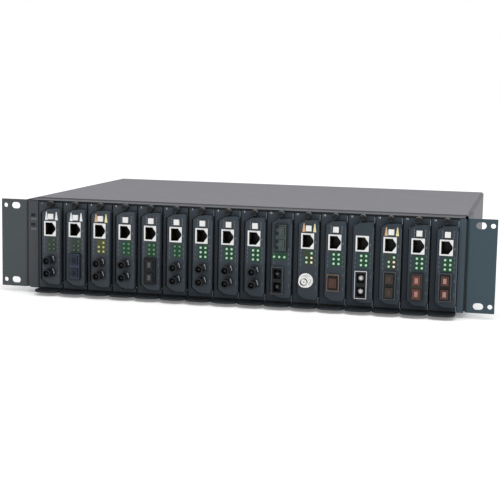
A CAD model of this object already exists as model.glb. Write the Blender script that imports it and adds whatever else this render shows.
"""Looks of a media converter chassis: paint, plastics, ports, lamps, screws, light and camera."""
import math

import bpy
from mathutils import Matrix, Vector


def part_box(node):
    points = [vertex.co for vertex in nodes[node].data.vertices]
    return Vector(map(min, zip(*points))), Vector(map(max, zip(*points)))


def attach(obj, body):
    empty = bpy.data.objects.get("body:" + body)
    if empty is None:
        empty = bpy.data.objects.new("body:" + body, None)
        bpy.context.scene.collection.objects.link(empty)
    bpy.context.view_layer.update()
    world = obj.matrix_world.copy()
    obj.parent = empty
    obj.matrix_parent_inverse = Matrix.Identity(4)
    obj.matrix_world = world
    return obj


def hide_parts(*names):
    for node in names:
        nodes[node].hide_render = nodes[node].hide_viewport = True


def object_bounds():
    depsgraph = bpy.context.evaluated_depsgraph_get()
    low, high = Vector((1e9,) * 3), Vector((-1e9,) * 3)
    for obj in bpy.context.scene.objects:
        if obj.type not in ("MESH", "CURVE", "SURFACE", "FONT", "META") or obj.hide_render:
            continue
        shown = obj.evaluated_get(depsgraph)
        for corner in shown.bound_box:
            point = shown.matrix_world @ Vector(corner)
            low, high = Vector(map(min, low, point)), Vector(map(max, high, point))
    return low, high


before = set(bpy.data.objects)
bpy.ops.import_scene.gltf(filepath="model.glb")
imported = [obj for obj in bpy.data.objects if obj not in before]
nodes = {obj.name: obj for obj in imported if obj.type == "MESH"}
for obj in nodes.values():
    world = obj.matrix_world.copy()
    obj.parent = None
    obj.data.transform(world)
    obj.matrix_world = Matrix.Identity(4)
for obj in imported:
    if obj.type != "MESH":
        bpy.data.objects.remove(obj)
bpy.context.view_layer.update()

# Sizes in millimetres, as in the part's source. In a slot, x counts from its left side, y from the
# front of the ears and z from their foot. On the case, x counts from its middle.
MM = 0.001
EAR_T, EAR_HALF_H = 2.0, 44.45
SLOT_COUNT, SLOT_PITCH, SLOTS_LEFT = 16, 26.278, -208.0
FRONT_Y = -7.0
FRONT_LEFT, FRONT_LOW, FRONT_HIGH = 5.7, 5.0, 81.5
CORNER_W, CORNER_TOP_H, CORNER_LOW_H = 7.2, 4.4, 5.4
JACK_LEFT, JACK_RIGHT, JACK_LOW, JACK_HIGH = 8.24, 21.69, 53.3, 68.9
MOUTH_LEFT, MOUTH_RIGHT, MOUTH_LOW, MOUTH_HIGH = 10.64, 18.24, 55.1, 67.1
LAMP_D, LAMP_X, LAMP_PITCH_X = 2.8, 17.289, 4.8
LAMP_LOW_Z, LAMP_PITCH_Z = 40.9, 4.45
LAMP_ROW_X, LAMP_ROW_PITCH, LAMP_ROW_Z = 14.489, 5.05, 44.7
SCREW_X, SCREW_Z = 15.389, 86.0
FIBRE_W, TWIN_H, SINGLE_H, PORT_STEP = 11.0, 26.0, 15.4, 12.7
PORT_X, PORT_Z, UPPER_PORT_Z = 16.189, 23.6, 63.6
FIBRE_MOUTH_W, FIBRE_MOUTH_H, FIBRE_FRONT_Y = 7.6, 9.4, -10.0
BARREL_D, BARREL_FRONT_Y, COLLAR_D = 8.2, -19.55, 10.4
COAX_D, COAX_FRONT_Y = 9.7, -20.05

# One entry per converter, from left to right
PORT_KINDS = [
    "round", "capped twin", "round", "round", "capped twin", "round", "round", "round", "round",
    "two twins", "coaxial", "single", "twin", "capped twin", "capped twin", "capped twin",
]
PORT_SIDE_SHARES = [0, 0, 0, 0, 0, 0, 0, 0, 0, -0.27, -0.1, -0.11, -0.08, 0, -0.06, -0.05]
PORT_RISE_SHARES = [0, 0.08, 0, 0, 0.05, 0, 0, 0, 0, -0.13, 0, -0.07, -0.11, -0.05, -0.04, 0.04]
LAMP_COUNTS = [5, 5, 5, 6, 6, 6, 6, 6, 6, 3, 5, 6, 6, 5, 6, 6]
SINGLE_ROW, COLUMN_ROWS = 3, 3
HAS_JACK = [number != 10 for number in range(1, SLOT_COUNT + 1)]
HAS_BUTTON = [number not in (10, 13) for number in range(1, SLOT_COUNT + 1)]


def spot(i, x, y, z):
    """A point of slot i in the row frame, in metres."""
    return Vector((SLOTS_LEFT + i * SLOT_PITCH + x, y - EAR_T, z - EAR_HALF_H)) * MM


def case_spot(x, y, z):
    """A point of the case in the row frame, in metres."""
    return Vector((x, y - EAR_T, z - EAR_HALF_H)) * MM


def port_place(i):
    """Middle of converter i's lower ports, across and up."""
    return PORT_X + PORT_SIDE_SHARES[i] * FIBRE_W, PORT_Z + PORT_RISE_SHARES[i] * PORT_STEP


# Finishes: node helpers first, then the finish itself
def tone(red, green, blue):
    """A colour as a swatch card gives it, turned into Blender's linear values."""
    def linear(value):
        value /= 255
        return value / 12.92 if value <= 0.04045 else ((value + 0.055) / 1.055) ** 2.4
    return (linear(red), linear(green), linear(blue), 1.0)


def feed(tree, socket, value):
    """Links a node's output to a socket, or sets the socket to a number, point or colour."""
    if isinstance(value, bpy.types.NodeSocket):
        tree.links.new(value, socket)
    else:
        socket.default_value = value


def maths(tree, operation, *values, kind="ShaderNodeMath"):
    """Output of a maths node with its inputs fed in order."""
    node = tree.nodes.new(kind)
    node.operation = operation
    for socket, value in zip(node.inputs, values):
        feed(tree, socket, value)
    return node.outputs[0]


def noise(tree, points, scale, detail):
    """Output of a noise texture."""
    node = tree.nodes.new("ShaderNodeTexNoise")
    node.inputs["Scale"].default_value = scale
    node.inputs["Detail"].default_value = detail
    tree.links.new(points, node.inputs["Vector"])
    return node.outputs["Fac"]


# Numbers of a mix node's sockets: share, first, second and result
MIX_SOCKETS = {"RGBA": (0, 6, 7, 2), "FLOAT": (0, 2, 3, 0)}


def mix(tree, kind, share, first, second):
    """Output of a mix node: first where the share is 0, and second where it is 1."""
    node = tree.nodes.new("ShaderNodeMix")
    node.data_type = kind
    *ends, result = MIX_SOCKETS[kind]
    for end, value in zip(ends, (share, first, second)):
        feed(tree, node.inputs[end], value)
    return node.outputs[result]


def make_box_share():
    """Node group that gives 1 inside a box and 0 outside it."""
    group = bpy.data.node_groups.new("box_share", "ShaderNodeTree")
    for name in ("Point", "Centre", "Half"):
        group.interface.new_socket(name, in_out="INPUT", socket_type="NodeSocketVector")
    group.interface.new_socket("Share", in_out="OUTPUT", socket_type="NodeSocketFloat")
    start = group.nodes.new("NodeGroupInput").outputs
    end = group.nodes.new("NodeGroupOutput").inputs
    vector = "ShaderNodeVectorMath"
    away = maths(group, "SUBTRACT", start["Point"], start["Centre"], kind=vector)
    size = maths(group, "ABSOLUTE", away, kind=vector)
    past = maths(group, "SUBTRACT", size, start["Half"], kind=vector)
    parts = group.nodes.new("ShaderNodeSeparateXYZ")
    group.links.new(past, parts.inputs[0])
    wider = maths(group, "MAXIMUM", parts.outputs["X"], parts.outputs["Y"])
    widest = maths(group, "MAXIMUM", wider, parts.outputs["Z"])
    group.links.new(maths(group, "LESS_THAN", widest, 0.0), end["Share"])
    return group


box_share = make_box_share()

CLOUD_DETAIL, GRAIN_DETAIL = 5.0, 3.0
GRAIN_IN_COLOUR = 0.35
CLOUD_LOW, CLOUD_HIGH = 0.4, 0.95
GLOSS_SWING = 0.16
GRAIN_HEIGHT = 0.0002
COAT_ROUGH = 0.15


def finish(name, colour, rough=0.5, metal=0.0, mottle=0.06, patch=45.0, grain=1500.0, depth=0.12,
           stretch=(1, 1, 1), regions=(), coat=0.0, glow=0.0, shine=0.5):
    """A procedural finish: uneven colour and gloss, a fine grain, and regions of other finishes."""
    material = bpy.data.materials.new(name)
    material.use_nodes = True
    tree = material.node_tree
    shader = tree.nodes["Principled BSDF"]
    points = tree.nodes.new("ShaderNodeTexCoord").outputs["Object"]
    drawn = tree.nodes.new("ShaderNodeMapping")
    drawn.inputs["Scale"].default_value = stretch
    tree.links.new(points, drawn.inputs["Vector"])
    cloud = noise(tree, drawn.outputs[0], patch, CLOUD_DETAIL)
    fine = noise(tree, drawn.outputs[0], grain, GRAIN_DETAIL)
    shade = tree.nodes.new("ShaderNodeMapRange")
    shade.inputs["From Min"].default_value = CLOUD_LOW
    shade.inputs["From Max"].default_value = CLOUD_HIGH
    shade.inputs["To Min"].default_value = 1 - mottle
    shade.inputs["To Max"].default_value = 1 + mottle
    tree.links.new(maths(tree, "MULTIPLY_ADD", fine, GRAIN_IN_COLOUR, cloud), shade.inputs["Value"])

    colours, roughs, metals = colour, rough, metal
    for (low, high), region_colour, region_rough, region_metal in regions:
        inside = tree.nodes.new("ShaderNodeGroup")
        inside.node_tree = box_share
        inside.inputs["Centre"].default_value = (low + high) / 2
        inside.inputs["Half"].default_value = (high - low) / 2
        tree.links.new(points, inside.inputs["Point"])
        share = inside.outputs[0]
        colours = mix(tree, "RGBA", share, colours, region_colour)
        roughs = mix(tree, "FLOAT", share, roughs, region_rough)
        metals = mix(tree, "FLOAT", share, metals, region_metal)

    uneven = tree.nodes.new("ShaderNodeVectorMath")
    uneven.operation = "SCALE"
    feed(tree, uneven.inputs[0], colours if regions else colour[:3])
    tree.links.new(shade.outputs[0], uneven.inputs["Scale"])
    tree.links.new(uneven.outputs[0], shader.inputs["Base Color"])
    least = rough - GLOSS_SWING / 2
    if regions:
        least = maths(tree, "SUBTRACT", roughs, GLOSS_SWING / 2)
    gloss = maths(tree, "MULTIPLY_ADD", cloud, GLOSS_SWING, least)
    tree.links.new(gloss, shader.inputs["Roughness"])
    feed(tree, shader.inputs["Metallic"], metals)
    bump = tree.nodes.new("ShaderNodeBump")
    bump.inputs["Strength"].default_value = depth
    bump.inputs["Distance"].default_value = GRAIN_HEIGHT
    tree.links.new(fine, bump.inputs["Height"])
    tree.links.new(bump.outputs[0], shader.inputs["Normal"])
    shader.inputs["Specular IOR Level"].default_value = shine
    if coat:
        shader.inputs["Coat Weight"].default_value = coat
        shader.inputs["Coat Roughness"].default_value = COAT_ROUGH
    if glow:
        shader.inputs["Emission Color"].default_value = colour
        shader.inputs["Emission Strength"].default_value = glow
    return material


def case_region(box, colour, rough, metal=0.0):
    """A box of the case, from its low corner to its high one, with a finish of its own."""
    return [case_spot(*corner) for corner in box], colour, rough, metal


def slot_region(i, box, colour, rough, metal=0.0):
    """A box of slot i with a finish of its own."""
    return [spot(i, *corner) for corner in box], colour, rough, metal


def flipped(box):
    """The same box at the other side of the case."""
    (left, front, low), (right, back, high) = box
    return (-right, front, low), (-left, back, high)


def both_sides(box, *look):
    """Two regions, one at each side of the case."""
    return [case_region(box, *look), case_region(flipped(box), *look)]


# Colours
SLATE, SLATE_EAR, SLATE_LIP = tone(62, 67, 73), tone(56, 72, 80), tone(33, 37, 41)
BLACK, NIGHT, JET = tone(17, 18, 20), tone(24, 26, 30), tone(24, 25, 27)
WHITE, NICKEL = tone(222, 222, 221), tone(236, 236, 234)
STEEL, GOLD, COPPER_TAPE = tone(176, 178, 180), tone(168, 138, 78), tone(150, 112, 52)
BOARD, PANEL_GREEN = tone(26, 72, 48), tone(28, 70, 46)
COVER, COVER_SHADE = tone(99, 98, 104), tone(78, 78, 84)

# Roughness and metal of regions
MATT, SOFT, EGGSHELL, SATIN, SMOOTH, POLISHED, GLASSY = 0.6, 0.5, 0.45, 0.4, 0.35, 0.2, 0.15
COVER_ROUGH = 0.62
METAL, NICKEL_METAL, DARK_METAL = 1.0, 0.75, 0.3

# Boxes of the case that have a finish of their own
CASE_EDGE = ((212, -3, -5), (222, 23.6, 90))
COVER_EDGE = ((212, -3, -5), (222, 23.6, 86.6))
COVER_SCREWS = ((220.16, 20, -5), (225, 290, 60))
COVER_BEND = ((217.2, 24, 86.6), (221, 290, 91))
RAIL_LOW = ((-222, -1, 80), (222, 6, 88.7))
EAR_SCREWS = ((222.3, 8, 0), (240, 70, 95))
UPPER_WINDOW = ((-216.1, -3, 71.9), (-211.4, 3, 75.1))
LOWER_WINDOW = ((-216.1, -3, 62.3), (-211.4, 3, 65.5))
END_EDGE = ((219.2, -1, -2), (219.9, 3, 90))
SOCKETS_BEFORE = ((-225, 104, 0), (225, 119.96, 95))
SOCKETS_BEHIND = ((-225, 121.65, 0), (225, 140, 95))

finishes = {
    "case": finish("case_coat", SLATE, rough=0.55, shine=0.25,
                   regions=both_sides(CASE_EDGE, BLACK, MATT)),
    "bay": finish("bay_plate_coat", SLATE, shine=0.3),
    "cover": finish("cover_coat", COVER, COVER_ROUGH, mottle=0.035, regions=[
        *both_sides(COVER_SCREWS, STEEL, SMOOTH, METAL),
        case_region(COVER_BEND, COVER_SHADE, COVER_ROUGH),
        *both_sides(COVER_EDGE, BLACK, MATT)]),
    "rail": finish("rail_coat", tone(54, 58, 64), shine=0.25,
                   regions=[case_region(RAIL_LOW, BLACK, MATT)]),
    "ear_right": finish("ear_coat_right", SLATE_EAR, shine=0.22,
                        regions=[case_region(EAR_SCREWS, STEEL, SMOOTH, METAL)]),
    "ear_left": finish("ear_coat_left", tone(68, 74, 77), shine=0.22,
                       regions=[case_region(flipped(EAR_SCREWS), STEEL, SMOOTH, METAL)]),
    "strip": finish("strip_coat", tone(66, 69, 73), shine=0.22, regions=[
        case_region(window, NIGHT, GLASSY) for window in (UPPER_WINDOW, LOWER_WINDOW)]),
    "end": finish("end_coat", tone(58, 71, 80), rough=0.45, shine=0.25,
                  regions=[case_region(END_EDGE, tone(104, 116, 124), SATIN)]),
    "guide": finish("guide_plastic_black", tone(30, 31, 33)),
    "backplane": finish("backplane_board", BOARD, rough=0.4, regions=[
        case_region(sockets, BLACK, EGGSHELL) for sockets in (SOCKETS_BEFORE, SOCKETS_BEHIND)]),
    "rubber": finish("foot_rubber_black", tone(28, 28, 29), rough=0.8, depth=0.3),
    "button": finish("button_white_plastic", WHITE, rough=0.3, mottle=0.02, depth=0.03, coat=0.3),
    "switch": finish("switch_black_plastic", tone(22, 22, 24), rough=0.3, depth=0.03),
    "fan": finish("fan_black_plastic", tone(30, 31, 33), rough=0.45),
    "screw": finish("screw_black", tone(12, 13, 15), rough=0.3, depth=0.05, shine=0.3),
    "white": finish("jack_white_plastic", WHITE, rough=0.35, mottle=0.03, depth=0.04),
    "contact": finish("contact_gold", GOLD, rough=0.25, metal=1.0, depth=0.02),
    "print": finish("print_grey", tone(108, 110, 116), rough=0.6, depth=0.02, shine=0.2),
    "print_white": finish("print_white", tone(225, 228, 232), rough=0.6, depth=0.02),
    "print_orange": finish("print_orange", tone(205, 165, 125), rough=0.6, depth=0.02),
    "print_yellow": finish("print_yellow", tone(222, 214, 160), rough=0.6, depth=0.02),
    "gun": finish("port_dark_metal", tone(28, 30, 34), 0.4, metal=0.3, depth=0.03, shine=0.3),
    "ridged": finish("port_ridged_metal", tone(48, 52, 57), 0.4, metal=0.4, depth=0.03, shine=0.3),
    "lug": finish("port_lug_metal", tone(176, 180, 184), rough=0.3, metal=0.6, depth=0.03),
    "bead_black": finish("front_gasket_black", tone(11, 12, 14), 0.7, depth=0.1, shine=0.15),
    "bead": finish("front_bead_dark", tone(31, 36, 41), rough=0.6, depth=0.1, shine=0.15),
    "nickel": finish("port_nickel", NICKEL, rough=0.2, metal=0.75, depth=0.03),
    "ceramic": finish("ferrule_white", tone(235, 228, 222), rough=0.25, depth=0.02),
    "port_silver": finish("port_silver", tone(198, 199, 203), 0.35, metal=0.3, depth=0.05),
}

LENS_LOOKS = {  # colour, coat, glow
    "mint": (tone(168, 202, 176), 0.5, 0.1), "fern": (tone(84, 118, 90), 0.5, 0.05),
    "dim": (tone(62, 78, 66), 0.3, 0.0), "lime": (tone(170, 174, 112), 0.5, 0.08),
    "warm": (tone(230, 214, 180), 0.5, 0.12),
}
for key, (colour, coat, glow) in LENS_LOOKS.items():
    finishes[key] = finish(f"lamp_{key}", colour, rough=0.3, mottle=0.05, depth=0.02, coat=coat,
                           glow=glow)

PORT_LOOKS = {  # colour, roughness, shine
    "port_black": (tone(16, 17, 19), 0.45, 0.25), "port_navy": (tone(30, 36, 54), 0.35, 0.3),
    "port_blue": (tone(48, 55, 76), 0.3, 0.3), "port_grey": (tone(74, 78, 82), 0.4, 0.3),
    "port_smoke": (tone(60, 74, 73), 0.35, 0.3), "port_tan": (tone(122, 100, 86), 0.45, 0.3),
    "port_brown": (tone(72, 48, 40), 0.45, 0.3), "port_olive": (tone(50, 46, 38), 0.45, 0.3),
    "port_red": (tone(94, 56, 50), 0.4, 0.3), "port_pink": (tone(160, 118, 108), 0.45, 0.3),
}
PORT_NAMES = {"port_blue": "port_blue_grey"}
for key, (colour, rough, shine) in PORT_LOOKS.items():
    finishes[key] = finish(PORT_NAMES.get(key, key), colour, rough, depth=0.05, shine=shine)

# Boxes of a converter that have a finish of their own
HOUSING = ((5.2, 1.52, 4.9), (26.4, 130, 81.6))
CARD = ((6.55, 1.6, 8), (8.3, 130, 78.5))
CARD_PARTS = ((8.26, 1.6, 8), (24.8, 96.9, 80.4))
PULL_LIP = ((-1, -20, -4), (27.3, 1.4, -0.62))
LAMP_PANEL = ((12.6, -7.5, 38.6), (22.0, -6.9, 52.3))
LAMP_ROW_PANEL = ((7.2, -7.5, 41.6), (21.8, -6.9, 48.4))
TOP_EDGE = ((-1, -0.6, 87.0), (27.3, 1.4, 90))
LEFT_EDGE = ((0, -0.6, -0.5), (0.95, 1.4, 87))
RIGHT_EDGE = ((25.6, -0.6, -0.5), (26.3, 1.4, 87))
FOOT_EDGE = ((-1, -0.6, -0.8), (27.3, 1.3, 0.35))
UPPER_GLINT = ((25.5, -0.1, 77.4), (26.1, 0.4, 86.2))
LOWER_GLINT = ((25.5, -0.1, 0.4), (26.1, 0.4, 6.2))
FRONT_GLINT = ((25.2, -7.1, 8), (25.95, -4.4, 77))
JACK_BODY = ((JACK_LEFT + 0.9, -7.2, JACK_LOW + 0.5), (JACK_RIGHT + 0.05, 10.1, JACK_HIGH + 0.05))
JACK_MOUTH = ((MOUTH_LEFT - 0.6, -7.2, MOUTH_LOW - 0.3), (JACK_RIGHT - 0.2, 6.2, MOUTH_HIGH + 0.3))
PORT_BACK = -7.04

PANEL_TONES = {0: tone(48, 62, 50), 1: tone(46, 62, 50), 2: tone(74, 78, 46),
               10: tone(50, 62, 44), 13: tone(48, 60, 46)}
PORT_INSIDES = {11: tone(66, 43, 35), 13: tone(44, 41, 35), 14: tone(44, 34, 36)}
PORT_INSIDE = tone(22, 22, 25)
FIRST_LIGHT_EDGE = 6
EDGE_CARD, EDGE_STEP, FRONT_EDGE_CARD = (104, 110, 116), 2, (74, 82, 88)
SHEET_CARD, SHEET_DROP = (59, 66, 72), (14, 11, 9)


def port_box(x, z, half_w, half_h, reach, back=PORT_BACK):
    """Box round a port, from how far it reaches forwards to its back."""
    return (x - half_w, reach, z - half_h), (x + half_w, back, z + half_h)


def port_regions(i):
    """Regions of one converter's ports."""
    x, z = port_place(i)
    kind = PORT_KINDS[i]
    if kind == "round":
        bores = [port_box(x, z + side * PORT_STEP / 2, half_w=3.1, half_h=3.1, reach=-19.4, back=-9)
                 for side in (-1, 1)]
        return [(port_box(x, z, half_w=6, half_h=12.2, reach=-20), tone(26, 28, 32), SATIN,
                 DARK_METAL), *((bore, BLACK, SATIN) for bore in bores)]
    if kind == "coaxial":
        return [(port_box(x, z, half_w=8, half_h=8, reach=-21), NICKEL, POLISHED, NICKEL_METAL)]
    found = [(port_box(x, z, half_w=5.7, half_h=13.4, reach=-12),
              PORT_INSIDES.get(i, PORT_INSIDE), SATIN)]
    if kind == "two twins":
        found.append((port_box(PORT_X, UPPER_PORT_Z, half_w=5.7, half_h=13.2, reach=-12),
                      tone(24, 26, 28), SATIN))
    return found


def converter_finish(i):
    """Finish of one converter: coated sheet, black lip, white jack, card, housing and ports."""
    panel = LAMP_ROW_PANEL if LAMP_COUNTS[i] == SINGLE_ROW else LAMP_PANEL
    looks = [
        (HOUSING, STEEL, SATIN, METAL),
        (CARD, BOARD, SATIN),
        (CARD_PARTS, BLACK, EGGSHELL),
        (PULL_LIP, SLATE_LIP, EGGSHELL),
        (panel, PANEL_TONES.get(i, PANEL_GREEN), EGGSHELL),
        (TOP_EDGE, BLACK, MATT),
        (LEFT_EDGE, BLACK, MATT),
        (FOOT_EDGE, BLACK, MATT),
    ]
    if i >= FIRST_LIGHT_EDGE:
        glint = tone(*(value + EDGE_STEP * i for value in EDGE_CARD))
        looks += [(UPPER_GLINT, glint, SATIN), (LOWER_GLINT, glint, SATIN),
                  (FRONT_GLINT, tone(*(value + i for value in FRONT_EDGE_CARD)), SATIN)]
    else:
        looks.append((RIGHT_EDGE, BLACK, MATT))
    if HAS_JACK[i]:
        looks += [(JACK_BODY, WHITE, SMOOTH), (JACK_MOUTH, BLACK, SATIN)]
    looks += port_regions(i)
    share = i / (SLOT_COUNT - 1)
    sheet = tone(*(value - drop * share for value, drop in zip(SHEET_CARD, SHEET_DROP)))
    return finish(f"converter_coat_{i + 1:02d}", sheet, rough=0.45, shine=0.2,
                  regions=[slot_region(i, *look) for look in looks])


# Boxes of the power supply that have a finish of their own
SUPPLY_PARTS = ((92.6, 152, 9), (203.4, 284.5, 79.5))
SUPPLY_BOARD = ((94, 134, 9.2), (202, 268.5, 11.3))
HEAT_SINK = ((146.4, 182, 11.3), (149.7, 255, 52))
TRANSFORMER = ((104, 182, 11.3), (138, 214, 40))
SUPPLY_PLATE = ((92.6, 284.9, 0), (210, 286.4, 90))
INLET = ((167.5, 262, 12.7), (198.5, 288.2, 36.3))
INLET_BORE = ((172, 277, 16), (195, 285, 33))
SWITCH_FRAME = ((171, 270, 45), (195, 288.2, 68))


def supply_finish():
    """Finish of the power supply: steel housing with black sides, coated plate, black inlet."""
    looks = [
        (SUPPLY_PARTS, BLACK, EGGSHELL),
        (SUPPLY_BOARD, BOARD, SATIN),
        (HEAT_SINK, STEEL, SMOOTH, METAL),
        (TRANSFORMER, COPPER_TAPE, SOFT),
        (SUPPLY_PLATE, tone(150, 152, 156), SOFT),
        (INLET, JET, SMOOTH),
        (INLET_BORE, JET, SMOOTH),
        (SWITCH_FRAME, JET, SMOOTH),
    ]
    return finish("supply_steel", STEEL, rough=0.4, metal=1.0, stretch=(1, 1, 6), grain=900,
                  regions=[case_region(*look) for look in looks])


def put(node, material):
    """Gives a CAD node its finish."""
    slots = nodes[node].material_slots
    if not slots:
        nodes[node].data.materials.append(material)
    for slot in nodes[node].material_slots:
        slot.material = material


NODE_FINISHES = {
    "base_tray": "case", "top_cover": "cover", "front_rail": "rail", "rack_ear_left": "ear_left",
    "rack_ear_right": "ear_right", "status_strip": "strip", "end_strip": "end",
    "card_guides": "guide", "backplane": "backplane", "bay_plate": "bay", "rubber_feet": "rubber",
    "power_switch": "switch", "fan_rotor": "fan",
}
for node, key in NODE_FINISHES.items():
    put(node, finishes[key])
put("power_supply", supply_finish())
for i in range(SLOT_COUNT):
    put(f"converter_{i + 1:02d}", converter_finish(i))
    if HAS_BUTTON[i]:
        put(f"button_{i + 1:02d}", finishes["button"])


# Modelling tools
def clear_choice():
    """Leaves nothing selected."""
    bpy.ops.object.select_all(action="DESELECT")


def choose(piece):
    """Selects one piece alone."""
    clear_choice()
    piece.select_set(True)
    bpy.context.view_layer.objects.active = piece


def settle(piece):
    """Leaves a piece at the origin, with its place in its mesh."""
    choose(piece)
    bpy.ops.object.transform_apply(location=True, rotation=True, scale=True)
    return piece


def block(low, high):
    """A box between two corners."""
    clear_choice()
    bpy.ops.mesh.primitive_cube_add(size=1, location=(low + high) / 2)
    piece = bpy.context.object
    piece.scale = high - low
    return settle(piece)


def slab(x, z, half_w, half_h, front, back):
    """A box of slot 0 round a point of its front, from one depth to another."""
    return block(spot(0, x - half_w, front, z - half_h), spot(0, x + half_w, back, z + half_h))


def rod(centre, d, length, sides=32):
    """A round bar along Y from a centre point forwards."""
    clear_choice()
    middle = centre - Vector((0, length * MM / 2, 0))
    bpy.ops.mesh.primitive_cylinder_add(vertices=sides, radius=d * MM / 2, depth=length * MM,
                                        location=middle, rotation=(math.pi / 2, 0, 0))
    return settle(bpy.context.object)


def shape(piece, kind, **settings):
    """Adds a modifier to a piece and applies it."""
    choose(piece)
    made = piece.modifiers.new(kind.lower(), kind)
    for key, value in settings.items():
        setattr(made, key, value)
    bpy.ops.object.modifier_apply(modifier=made.name)
    return piece


def cut(piece, *cutters):
    """Cuts other shapes out of a piece."""
    for cutter in cutters:
        shape(piece, "BOOLEAN", operation="DIFFERENCE", solver="EXACT", object=cutter)
        bpy.data.objects.remove(cutter)
    return piece


def soften(piece, width, segments=2, angle=35):
    """Rounds the edges of a piece."""
    return shape(piece, "BEVEL", width=width * MM, segments=segments, limit_method="ANGLE",
                 angle_limit=math.radians(angle))


# A face points this way when that part of its normal is past this
FACING = 0.9


def faces_front(normal):
    return normal.y < -FACING


def faces_back(normal):
    return normal.y > FACING


def faces_up(normal):
    return normal.z > FACING


def faces_right(normal):
    return normal.x > FACING


def edit_faces(piece, test):
    """Goes into edit mode with the faces chosen whose normal passes a test."""
    choose(piece)
    chosen = [face.index for face in piece.data.polygons if test(face.normal)]
    bpy.ops.object.mode_set(mode="EDIT")
    bpy.ops.mesh.select_mode(type="FACE")
    bpy.ops.mesh.select_all(action="DESELECT")
    bpy.ops.object.mode_set(mode="OBJECT")
    for index in chosen:
        piece.data.polygons[index].select = True
    bpy.ops.object.mode_set(mode="EDIT")


def leave_edit():
    bpy.ops.object.mode_set(mode="OBJECT")


def move_chosen(x, y, z):
    """Moves the chosen faces, in millimetres."""
    bpy.ops.transform.translate(value=(x * MM, y * MM, z * MM))


def extrude_chosen(x, y, z):
    """Extrudes the chosen faces, in millimetres."""
    bpy.ops.mesh.extrude_region_move(
        TRANSFORM_OT_translate={"value": (x * MM, y * MM, z * MM)})


def inset_chosen(thickness):
    """Insets the chosen faces, in millimetres."""
    bpy.ops.mesh.inset(thickness=thickness * MM)


def join(pieces):
    """Makes one piece out of several."""
    clear_choice()
    for piece in pieces:
        piece.select_set(True)
    bpy.context.view_layer.objects.active = pieces[0]
    bpy.ops.object.join()
    return bpy.context.object


def smooth(piece, angle=40):
    """Shades a piece smooth, apart from its sharp edges."""
    choose(piece)
    bpy.ops.object.shade_smooth_by_angle(angle=math.radians(angle))
    return piece


def dress(piece, key):
    """Gives a piece one finish."""
    piece.data.materials.clear()
    piece.data.materials.append(finishes[key])
    return piece


def copy_to(piece, shift):
    """A copy of a piece with its own mesh, moved."""
    other = piece.copy()
    other.data = piece.data.copy()
    bpy.context.scene.collection.objects.link(other)
    other.data.transform(Matrix.Translation(shift))
    return other


def place(piece, name, body):
    """Names a finished piece and lets it ride on its body."""
    piece.name = name
    piece.data.name = name
    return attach(piece, body)


def forget(*pieces):
    """Removes the patterns that were only copied."""
    for piece in pieces:
        bpy.data.objects.remove(piece)


def to_slot(i):
    """The way from slot 0 to slot i."""
    return Vector((i * SLOT_PITCH * MM, 0, 0))


RIDGED_SIDES = 48


def ridge_sides(piece, x, z, inner_r):
    """Pulls every second edge of a round piece inwards, so that it is ridged."""
    centre = spot(0, x, 0, z)
    for vertex in piece.data.vertices:
        away = Vector((vertex.co.x - centre.x, 0, vertex.co.z - centre.z))
        turn = round(math.degrees(math.atan2(away.z, away.x)) / (360 / RIDGED_SIDES))
        if turn % 2 and away.length > inner_r * MM:
            scale = inner_r * MM / away.length
            vertex.co.x = centre.x + away.x * scale
            vertex.co.z = centre.z + away.z * scale


def jack_trim():
    """White frame of the network jack with its mouth and latch notch."""
    proud, sunk, through, notch_z = 0.6, -0.12, (-2, 1), 61.5
    trim = block(spot(0, JACK_LEFT + 0.95, FRONT_Y - proud, JACK_LOW + 0.55),
                 spot(0, JACK_RIGHT, FRONT_Y + sunk, JACK_HIGH))
    mouth = block(spot(0, MOUTH_LEFT + 0.05, FRONT_Y + through[0], MOUTH_LOW + 0.15),
                  spot(0, MOUTH_RIGHT - 0.3, FRONT_Y + through[1], MOUTH_HIGH + 0.85))
    notch = block(spot(0, MOUTH_RIGHT - 0.4, FRONT_Y + through[0], MOUTH_LOW + 0.5),
                  spot(0, JACK_RIGHT - 0.35, FRONT_Y + through[1], MOUTH_HIGH + 0.4))
    edit_faces(notch, faces_right)
    bpy.ops.transform.resize(value=(1, 1, 0.2), center_override=spot(0, JACK_RIGHT, 0, notch_z))
    leave_edit()
    cut(trim, mouth, notch)
    soften(trim, width=0.12)
    return dress(smooth(trim), "white")


def jack_contacts():
    """Eight gold wires inside the jack, slanting forwards."""
    wire_count, wire_pitch, wire_low, wire_d = 8, 1.02, 57.35, 0.4
    wire = block(spot(0, MOUTH_LEFT + 0.15, FRONT_Y + 2.0, wire_low),
                 spot(0, MOUTH_LEFT + 0.15 + wire_d, FRONT_Y + 2.6, wire_low + wire_d))
    edit_faces(wire, faces_back)
    extrude_chosen(1.8, 6, 0)
    leave_edit()
    edit_faces(wire, faces_front)
    extrude_chosen(0, -0.6, 0)
    leave_edit()
    shape(wire, "ARRAY", count=wire_count, use_relative_offset=False, use_constant_offset=True,
          constant_offset_displace=(0, 0, wire_pitch * MM))
    return dress(soften(wire, width=0.05, segments=1), "contact")


def lens():
    """Domed front of one signal lamp, at the lower left of slot 0."""
    dome = rod(spot(0, 0, FRONT_Y - 0.3, 0), d=LAMP_D - 0.5, length=0.55, sides=20)
    edit_faces(dome, faces_front)
    bpy.ops.mesh.bevel(offset=0.3 * MM, segments=3, affect="EDGES")
    leave_edit()
    return smooth(dome, angle=50)


def lamp_places(count):
    """Places of a converter's lamps: a row of three, or two columns of which one may be short."""
    if count == SINGLE_ROW:
        return [(LAMP_ROW_X + c * LAMP_ROW_PITCH, LAMP_ROW_Z) for c in (-1, 0, 1)]
    return [(LAMP_X + c * LAMP_PITCH_X / 2, LAMP_LOW_Z + r * LAMP_PITCH_Z)
            for c in (-1, 1) for r in range(COLUMN_ROWS)
            if count == 2 * COLUMN_ROWS or c == 1 or r < COLUMN_ROWS - 1]


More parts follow.
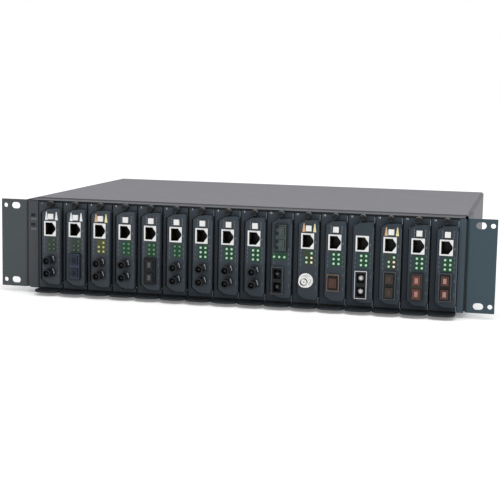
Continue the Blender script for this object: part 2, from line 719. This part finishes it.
MIXED_LAMPS = ["mint", "mint", "warm", "warm", "mint"]
LAMP_TONES = {0: ["dim"] * 5, 1: ["dim"] * 5, 2: ["lime"] * 5, 10: MIXED_LAMPS, 13: MIXED_LAMPS}
FIRST_BRIGHT_LAMP = 6


def lamps(i):
    """The lamps of one converter."""
    places = lamp_places(LAMP_COUNTS[i])
    plain = "fern" if i < FIRST_BRIGHT_LAMP else "mint"
    keys = LAMP_TONES.get(i, [plain] * len(places))
    return join([dress(copy_to(first_lens, spot(i, x, 0, z) - spot(0, 0, 0, 0)), key)
                 for (x, z), key in zip(places, keys)])


# Printed marks: how deep they sit, and their places and sizes as x, z, width and height
PRINT_SUNK, PRINT_PROUD, ARROW_PROUD = 0.02, 0.05, 0.12
ARROW_W, ARROW_LOW, ARROW_HIGH, ARROW_TIP = 3.0, 70.1, 78.2, 0.25
BESIDE_BUTTON = (11.6, 22.1)
BUTTON_DASH_ROWS, BUTTON_DASH = (71.2, 73.8, 76.4), (0.7, 1.9)
LAMP_DASH_LOW, LAMP_DASH_ROWS = 38.6, 4
LAMP_DASHES = ((9.2, 0.45, 2.4), (23.5, 0.45, 2.2))
JACK_DASH = (23.3, 60.4, 1.1, 1.6)
PORT_DASH_X, PORT_DASH_ROWS, PORT_DASH = 24.2, (17.2, 30.2), (0.5, 2.6)
NUMBER_X, NUMBER_Z, NUMBER_SIZE, NUMBER_DEPTH, NUMBER_PROUD = 3.9, 85.2, 2.4, 0.03, 0.01
WHITE_ARROWS, COLOURED_ARROWS = ("print_white",) * 2, ("print_orange", "print_yellow")
ARROW_TONES = {0: WHITE_ARROWS, 1: WHITE_ARROWS, 2: COLOURED_ARROWS, 10: COLOURED_ARROWS,
               13: COLOURED_ARROWS}


def dash(i, x, z, w, h):
    """A short printed bar on the front."""
    low = spot(i, x - w / 2, FRONT_Y - PRINT_PROUD, z - h / 2)
    return dress(block(low, spot(i, x + w / 2, FRONT_Y + PRINT_SUNK, z + h / 2)), "print")


def arrow(i, x, key):
    """A tall printed arrow, narrow at its top."""
    bar = block(spot(i, x - ARROW_W / 2, FRONT_Y - ARROW_PROUD, ARROW_LOW),
                spot(i, x + ARROW_W / 2, FRONT_Y + PRINT_SUNK, ARROW_HIGH))
    edit_faces(bar, faces_up)
    bpy.ops.transform.resize(value=(ARROW_TIP, 1, 1),
                             center_override=spot(i, x, FRONT_Y - PRINT_PROUD, ARROW_HIGH))
    leave_edit()
    return dress(bar, key)


def slot_number(i):
    """Slot number at the upper left of a carrier."""
    clear_choice()
    bpy.ops.object.text_add(location=(0, 0, 0))
    word = bpy.context.object
    word.data.body = str(i + 1)
    word.data.size = NUMBER_SIZE * MM
    word.data.extrude = NUMBER_DEPTH * MM
    word.data.align_x = "CENTER"
    bpy.ops.object.convert(target="MESH")
    word = bpy.context.object
    word.rotation_euler = (math.pi / 2, 0, 0)
    word.location = spot(i, NUMBER_X, -NUMBER_PROUD, NUMBER_Z)
    return dress(settle(word), "print_white")


def marks(i):
    """Printed marks of one converter: its number, and bars by its button, lamps, jack and ports."""
    made = [slot_number(i)]
    if i in ARROW_TONES:
        made += [arrow(i, x, key) for x, key in zip(BESIDE_BUTTON, ARROW_TONES[i])]
    elif HAS_BUTTON[i]:
        made += [dash(i, x, z, *BUTTON_DASH) for z in BUTTON_DASH_ROWS for x in BESIDE_BUTTON]
    made += [dash(i, x, LAMP_DASH_LOW + row * LAMP_PITCH_Z, w, h)
             for row in range(LAMP_DASH_ROWS) for x, w, h in LAMP_DASHES]
    if HAS_JACK[i]:
        made.append(dash(i, *JACK_DASH))
    made += [dash(i, PORT_DASH_X, z, *PORT_DASH) for z in PORT_DASH_ROWS]
    return join(made)


def bayonet(x, z):
    """Bayonet ring of a round fibre port: rim, two studs, knurled collar, nose and lug."""
    rim = rod(spot(0, x, BARREL_FRONT_Y + 1.4, z), d=BARREL_D + 0.7, length=1.7)
    cut(rim, rod(spot(0, x, BARREL_FRONT_Y + 3, z), d=BARREL_D - 2.1, length=6))
    soften(rim, width=0.2)
    studs = [soften(rod(spot(0, x + side * BARREL_D / 2, BARREL_FRONT_Y + 5.6, z), d=1.5,
                        length=1.5, sides=12), width=0.25) for side in (-1, 1)]
    collar = rod(spot(0, x, FRONT_Y - 0.3, z), d=COLLAR_D + 0.6, length=2.4, sides=RIDGED_SIDES)
    ridge_sides(collar, x, z, inner_r=COLLAR_D / 2 + 0.1)
    cut(collar, rod(spot(0, x, FRONT_Y + 2, z), d=BARREL_D + 0.04, length=8))
    nose = rod(spot(0, x, BARREL_FRONT_Y + 9.8, z), d=2.9, length=6.4, sides=20)
    soften(nose, width=0.3)
    lug_right, lug_w, lug_low, lug_high = x + COLLAR_D / 2 - 0.2, 1.1, z - 0.6, z + 4.0
    lug = block(spot(0, lug_right - lug_w, FRONT_Y - 3.1, lug_low),
                spot(0, lug_right, FRONT_Y - 2.6, lug_high))
    edit_faces(lug, faces_up)
    move_chosen(-1.2, 0, 0)
    leave_edit()
    soften(lug, width=0.2)
    return smooth(join([dress(rim, "gun"), *(dress(stud, "gun") for stud in studs),
                        dress(collar, "ridged"), dress(nose, "port_black"), dress(lug, "lug")]))


def fibre_cap(x, z, key, grip_key):
    """Ribbed cap in the mouth of a square fibre port."""
    room, front, back, grip_front, grip_facing = 0.15, -1.75, -1.22, -2.1, 0.7
    cap = slab(x, z, FIBRE_MOUTH_W / 2 - room, FIBRE_MOUTH_H / 2 - room,
               FIBRE_FRONT_Y + front, FIBRE_FRONT_Y + back)
    edit_faces(cap, faces_front)
    inset_chosen(1.1)
    move_chosen(0, 0.4, 0)
    inset_chosen(0.9)
    extrude_chosen(0, -0.9, 0)
    leave_edit()
    soften(cap, width=0.12, segments=1)
    dress(cap, key)
    cap.data.materials.append(finishes[grip_key])
    grip_y = spot(0, 0, FIBRE_FRONT_Y + grip_front, 0).y
    for face in cap.data.polygons:
        if face.normal.y < -grip_facing and face.center.y < grip_y:
            face.material_index = 1
    return cap


def fibre_sleeve(x, z, key, ferrule_key):
    """Sleeve and ferrule inside an open square fibre port."""
    sleeve = rod(spot(0, x, FIBRE_FRONT_Y + 8.9, z), d=4.4, length=6.0, sides=24)
    cut(sleeve, rod(spot(0, x, FIBRE_FRONT_Y + 6.5, z), d=3.1, length=6.0, sides=24))
    ferrule = rod(spot(0, x, FIBRE_FRONT_Y + 8.9, z), d=2.5, length=7.2, sides=20)
    soften(ferrule, width=0.3)
    return [dress(sleeve, key), dress(ferrule, ferrule_key)]


def fibre_face(x, places, z, h, rim_key, frame_key, mouth_key, end_key, capped):
    """Front of a square fibre port: rim, frame with its mouths, and in each a ferrule or a cap."""
    half_w, half_h, front = FIBRE_W / 2, h / 2, FIBRE_FRONT_Y
    past, within, skin = 0.35, 0.3, 0.01
    rim = slab(x, z, half_w + past, half_h + past, front - 0.4, front + 1.2)
    core = slab(x, z, half_w - within, half_h - within, front - 2, front - 0.05)
    body = slab(x, z, half_w + skin, half_h + skin, front - 0.06, front + 2)
    cut(rim, core, body)
    soften(rim, width=0.1)
    plate = slab(x, z, half_w - past, half_h - past, front - 0.25, front - 0.02)
    mouths = [slab(x, at, FIBRE_MOUTH_W / 2, FIBRE_MOUTH_H / 2, front - 3, front + 3)
              for at in places]
    key_x, key_half_w, key_half_h = x - FIBRE_MOUTH_W / 2 - 0.3, 0.5, 1.5
    keys = [slab(key_x, at, key_half_w, key_half_h, front - 3, front + 3) for at in places]
    cut(plate, *mouths, *keys)
    soften(plate, width=0.08)
    parts = [dress(rim, rim_key), dress(plate, frame_key)]
    for at in places:
        if capped:
            parts.append(fibre_cap(x, at, mouth_key, end_key))
        else:
            parts += fibre_sleeve(x, at, mouth_key, end_key)
    return smooth(join(parts))


def coaxial_face(x, z):
    """Coaxial port: rolled rim, six-sided nut, insulator and centre contact."""
    rim = rod(spot(0, x, COAX_FRONT_Y + 0.9, z), d=COAX_D + 0.6, length=1.3, sides=40)
    cut(rim, rod(spot(0, x, COAX_FRONT_Y + 3, z), d=COAX_D - 1.7, length=6, sides=40))
    soften(rim, width=0.2)
    nut = rod(spot(0, x, FRONT_Y - 0.2, z), d=14.3, length=2.9, sides=6)
    cut(nut, rod(spot(0, x, FRONT_Y + 2, z), d=COAX_D + 0.04, length=8, sides=40))
    soften(nut, width=0.35)
    core = rod(spot(0, x, COAX_FRONT_Y + 8.6, z), d=5.1, length=8.2, sides=28)
    edit_faces(core, faces_front)
    inset_chosen(1.4)
    extrude_chosen(0, 2, 0)
    leave_edit()
    pin = rod(spot(0, x, COAX_FRONT_Y + 6.5, z), d=1.6, length=6.0, sides=16)
    soften(pin, width=0.3)
    return smooth(join([dress(rim, "nickel"), dress(nut, "nickel"), dress(core, "white"),
                        dress(pin, "contact")]))


# Finishes of each square port: rim, frame, mouth or cap, ferrule or grip
FIBRE_TONES = {
    1: ("port_black", "port_blue", "port_navy", "port_black"),
    4: ("port_black", "port_black", "gun", "port_grey"),
    9: ("port_grey", "port_black", "port_black", "port_grey"),
    11: ("port_tan", "port_black", "port_brown", "port_brown"),
    12: ("port_silver", "port_black", "port_silver", "ceramic"),
    13: ("port_grey", "port_black", "port_olive", "port_brown"),
    14: ("port_black", "port_olive", "port_red", "port_pink"),
    15: ("port_grey", "port_black", "port_brown", "port_pink"),
}
UPPER_TONES = ("port_black", "port_smoke", "port_smoke", "port_smoke")
CLIP_X, CLIP_HALF_W, CLIP_HALF_H, CLIP_RISES = -3.7, 1.6, 1.5, (10.6, 4.2, -3.4, -9.6)


def pair_at(z):
    """Heights of the two mouths of a twin port."""
    return z - PORT_STEP / 2, z + PORT_STEP / 2


def upper_twin():
    """Upper capped twin port with four black clips at its left."""
    clips = [slab(PORT_X + CLIP_X, UPPER_PORT_Z + at, CLIP_HALF_W, CLIP_HALF_H,
                  FIBRE_FRONT_Y - 2.1, FIBRE_FRONT_Y - 0.2) for at in CLIP_RISES]
    clips = [dress(soften(clip, width=0.3), "port_black") for clip in clips]
    face = fibre_face(PORT_X, pair_at(UPPER_PORT_Z), UPPER_PORT_Z, TWIN_H, *UPPER_TONES, True)
    return [face, *clips]


def ports(i):
    """Port details of one converter, drawn in slot 0 and moved to its slot."""
    x, z = port_place(i)
    kind = PORT_KINDS[i]
    if kind == "round":
        made = join([bayonet(x, at) for at in pair_at(z)])
    elif kind == "coaxial":
        made = coaxial_face(x, z)
    elif kind == "single":
        made = fibre_face(x, [z], z, SINGLE_H, *FIBRE_TONES[i], True)
    else:
        capped = kind == "capped twin"
        made = fibre_face(x, pair_at(z), z, TWIN_H, *FIBRE_TONES[i], capped)
        if kind == "two twins":
            made = join([made, *upper_twin()])
    made.data.transform(Matrix.Translation(to_slot(i)))
    return made


def front_bead():
    """Bead along the left edge and the cut corners of a converter's front."""
    top_run, low_run, lap, outside, inside = 4, 2, 0.2, -0.5, 0.3
    line = [(FRONT_LEFT + CORNER_W + top_run, FRONT_HIGH), (FRONT_LEFT + CORNER_W, FRONT_HIGH),
            (FRONT_LEFT, FRONT_HIGH - CORNER_TOP_H), (FRONT_LEFT, FRONT_LOW + CORNER_LOW_H),
            (FRONT_LEFT + CORNER_W, FRONT_LOW), (FRONT_LEFT + CORNER_W + low_run, FRONT_LOW)]
    corner = spot(0, 0, 0, 0)
    parts = []
    for (x0, z0), (x1, z1) in zip(line, line[1:]):
        length = math.hypot(x1 - x0, z1 - z0)
        bar = block(spot(0, -lap, FRONT_Y - 0.12, outside),
                    spot(0, length + lap, FRONT_Y + 1.2, inside))
        turn = Matrix.Rotation(-math.atan2(z1 - z0, x1 - x0), 4, "Y")
        bar.data.transform(Matrix.Translation(spot(0, x0, 0, z0)) @ turn
                           @ Matrix.Translation(-corner))
        parts.append(bar)
    return soften(join(parts), width=0.1, segments=1)


def thumbscrew():
    """Knurled thumbscrew: ridged head with a driver slot, neck and ring."""
    low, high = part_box("thumbscrew_01")
    head_back, head_l, head_d, crown = -2.8, 6.4, 6.4, 0.3
    head = rod(spot(0, SCREW_X, head_back, SCREW_Z), head_d, head_l, sides=RIDGED_SIDES)
    edit_faces(head, faces_front)
    inset_chosen(0.4)
    move_chosen(0, -crown, 0)
    leave_edit()
    head.data.transform(Matrix.Translation((0, crown * MM, 0)))
    ridge_sides(head, SCREW_X, SCREW_Z, inner_r=head_d / 2 - 0.28)
    cut(head, slab(SCREW_X, SCREW_Z, half_w=4, half_h=0.5, front=head_back - head_l - 1,
                   back=head_back - head_l + 1.4))
    centre = (low + high) / 2
    neck_back = high.y - 0.5 * MM
    neck_l = (high.y - spot(0, 0, head_back, 0).y) / MM - 0.4
    neck = rod(Vector((centre.x, neck_back, centre.z)), d=3.0, length=neck_l, sides=24)
    soften(neck, width=0.3)
    ring = rod(spot(0, SCREW_X, -0.35, SCREW_Z), d=5.0, length=2.5)
    soften(ring, width=0.2)
    return dress(smooth(join([head, neck, ring]), angle=30), "screw")


# Pieces of all converters
BLACK_BEADS = 9
first_trim, first_wires, first_screw = jack_trim(), jack_contacts(), thumbscrew()
first_lens, first_bead = lens(), front_bead()
for i in range(SLOT_COUNT):
    tag = f"{i + 1:02d}"
    body = "converter_" + tag
    if HAS_JACK[i]:
        place(copy_to(first_trim, to_slot(i)), "jack_trim_" + tag, body)
        place(copy_to(first_wires, to_slot(i)), "jack_contacts_" + tag, body)
    bead = dress(copy_to(first_bead, to_slot(i)), "bead_black" if i < BLACK_BEADS else "bead")
    place(bead, "front_bead_" + tag, body)
    place(lamps(i), "lamps_" + tag, body)
    place(marks(i), "printed_marks_" + tag, body)
    place(ports(i), "port_details_" + tag, body)
    screw = copy_to(first_screw, to_slot(i))
    place(screw, "knurled_screw_" + tag, "screw_" + tag)
    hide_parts("thumbscrew_" + tag)
forget(first_trim, first_wires, first_screw, first_lens, first_bead)

# Light-grey bars below the two windows of the status strip
BAR_LEFT, BAR_RIGHT, BAR_HALF_H, BAR_PROUD, BAR_SUNK = -216.0, -209.6, 0.55, 0.06, 0.02
BAR_HEIGHTS = (69.6, 59.4)
bars = [dress(block(case_spot(BAR_LEFT, -BAR_PROUD, z - BAR_HALF_H),
                    case_spot(BAR_RIGHT, BAR_SUNK, z + BAR_HALF_H)), "print")
        for z in BAR_HEIGHTS]
place(join(bars), "status_bars", "case")

# Floor: a pale plane on which the camera sees a little more light
FLOOR_SIZE, FLOOR_LIFT, SKY_STRENGTH, SEEN_STRENGTH = 30, 0.18, 0.86, 1.0
clear_choice()
bpy.ops.mesh.primitive_plane_add(size=FLOOR_SIZE, location=(0, 0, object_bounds()[0].z))
floor = bpy.context.object
floor.name = "pale_floor"
floor_look = finish("floor_white", tone(255, 255, 255), rough=1.0, mottle=0.0, depth=0.0)
floor.data.materials.append(floor_look)
floor_tree = floor_look.node_tree
floor_shader = floor_tree.nodes["Principled BSDF"]
floor_shader.inputs["Emission Color"].default_value = (1, 1, 1, 1)
floor_rays = floor_tree.nodes.new("ShaderNodeLightPath").outputs
floor_tree.links.new(maths(floor_tree, "MULTIPLY", floor_rays["Is Camera Ray"], FLOOR_LIFT),
                     floor_shader.inputs["Emission Strength"])

# World: even light on the object, and white for the camera and in what shines
world = bpy.data.worlds.new("studio")
bpy.context.scene.world = world
world.use_nodes = True
sky_tree = world.node_tree
sky = sky_tree.nodes["Background"]
seen = sky_tree.nodes.new("ShaderNodeBackground")
for node, strength in ((sky, SKY_STRENGTH), (seen, SEEN_STRENGTH)):
    node.inputs["Color"].default_value = (1, 1, 1, 1)
    node.inputs["Strength"].default_value = strength
rays = sky_tree.nodes.new("ShaderNodeLightPath").outputs
camera_or_glossy = maths(sky_tree, "MAXIMUM", rays["Is Camera Ray"], rays["Is Glossy Ray"])
looking = maths(sky_tree, "MAXIMUM", camera_or_glossy, rays["Is Transmission Ray"])
either = sky_tree.nodes.new("ShaderNodeMixShader")
sky_tree.links.new(looking, either.inputs[0])
sky_tree.links.new(sky.outputs[0], either.inputs[1])
sky_tree.links.new(seen.outputs[0], either.inputs[2])
sky_tree.links.new(either.outputs[0], sky_tree.nodes["World Output"].inputs[0])


def lamp(name, location, aim, size, power):
    """A soft square studio lamp that points at a spot."""
    data = bpy.data.lights.new(name, "AREA")
    data.shape = "SQUARE"
    data.size = size
    data.energy = power
    made = bpy.data.objects.new(name, data)
    bpy.context.scene.collection.objects.link(made)
    made.location = location
    made.rotation_euler = (Vector(aim) - Vector(location)).to_track_quat("-Z", "Y").to_euler()


lamp("lamp_above", location=(0.14, -0.2, 1.0), aim=(0.06, 0.02, 0), size=0.6, power=3.5)
lamp("lamp_front", location=(1.6, -2.0, 0.9), aim=(0, 0, 0), size=1.2, power=9)

# Camera at the photograph's viewing angle
SENSOR_W, LENS_L = 36, 89.136
camera_data = bpy.data.cameras.new("photo_camera")
camera_data.sensor_width = SENSOR_W
camera_data.lens = LENS_L
camera = bpy.data.objects.new("photo_camera", camera_data)
bpy.context.scene.collection.objects.link(camera)
camera.matrix_world = Matrix((
    (0.9724, -0.04943, 0.2278, 0.2865),
    (0.23233, 0.1265, -0.96429, -1.163),
    (0.01885, 0.9907, 0.1345, 0.16645),
    (0, 0, 0, 1),
))
bpy.context.scene.camera = camera
bpy.context.scene.view_settings.view_transform = "Standard"
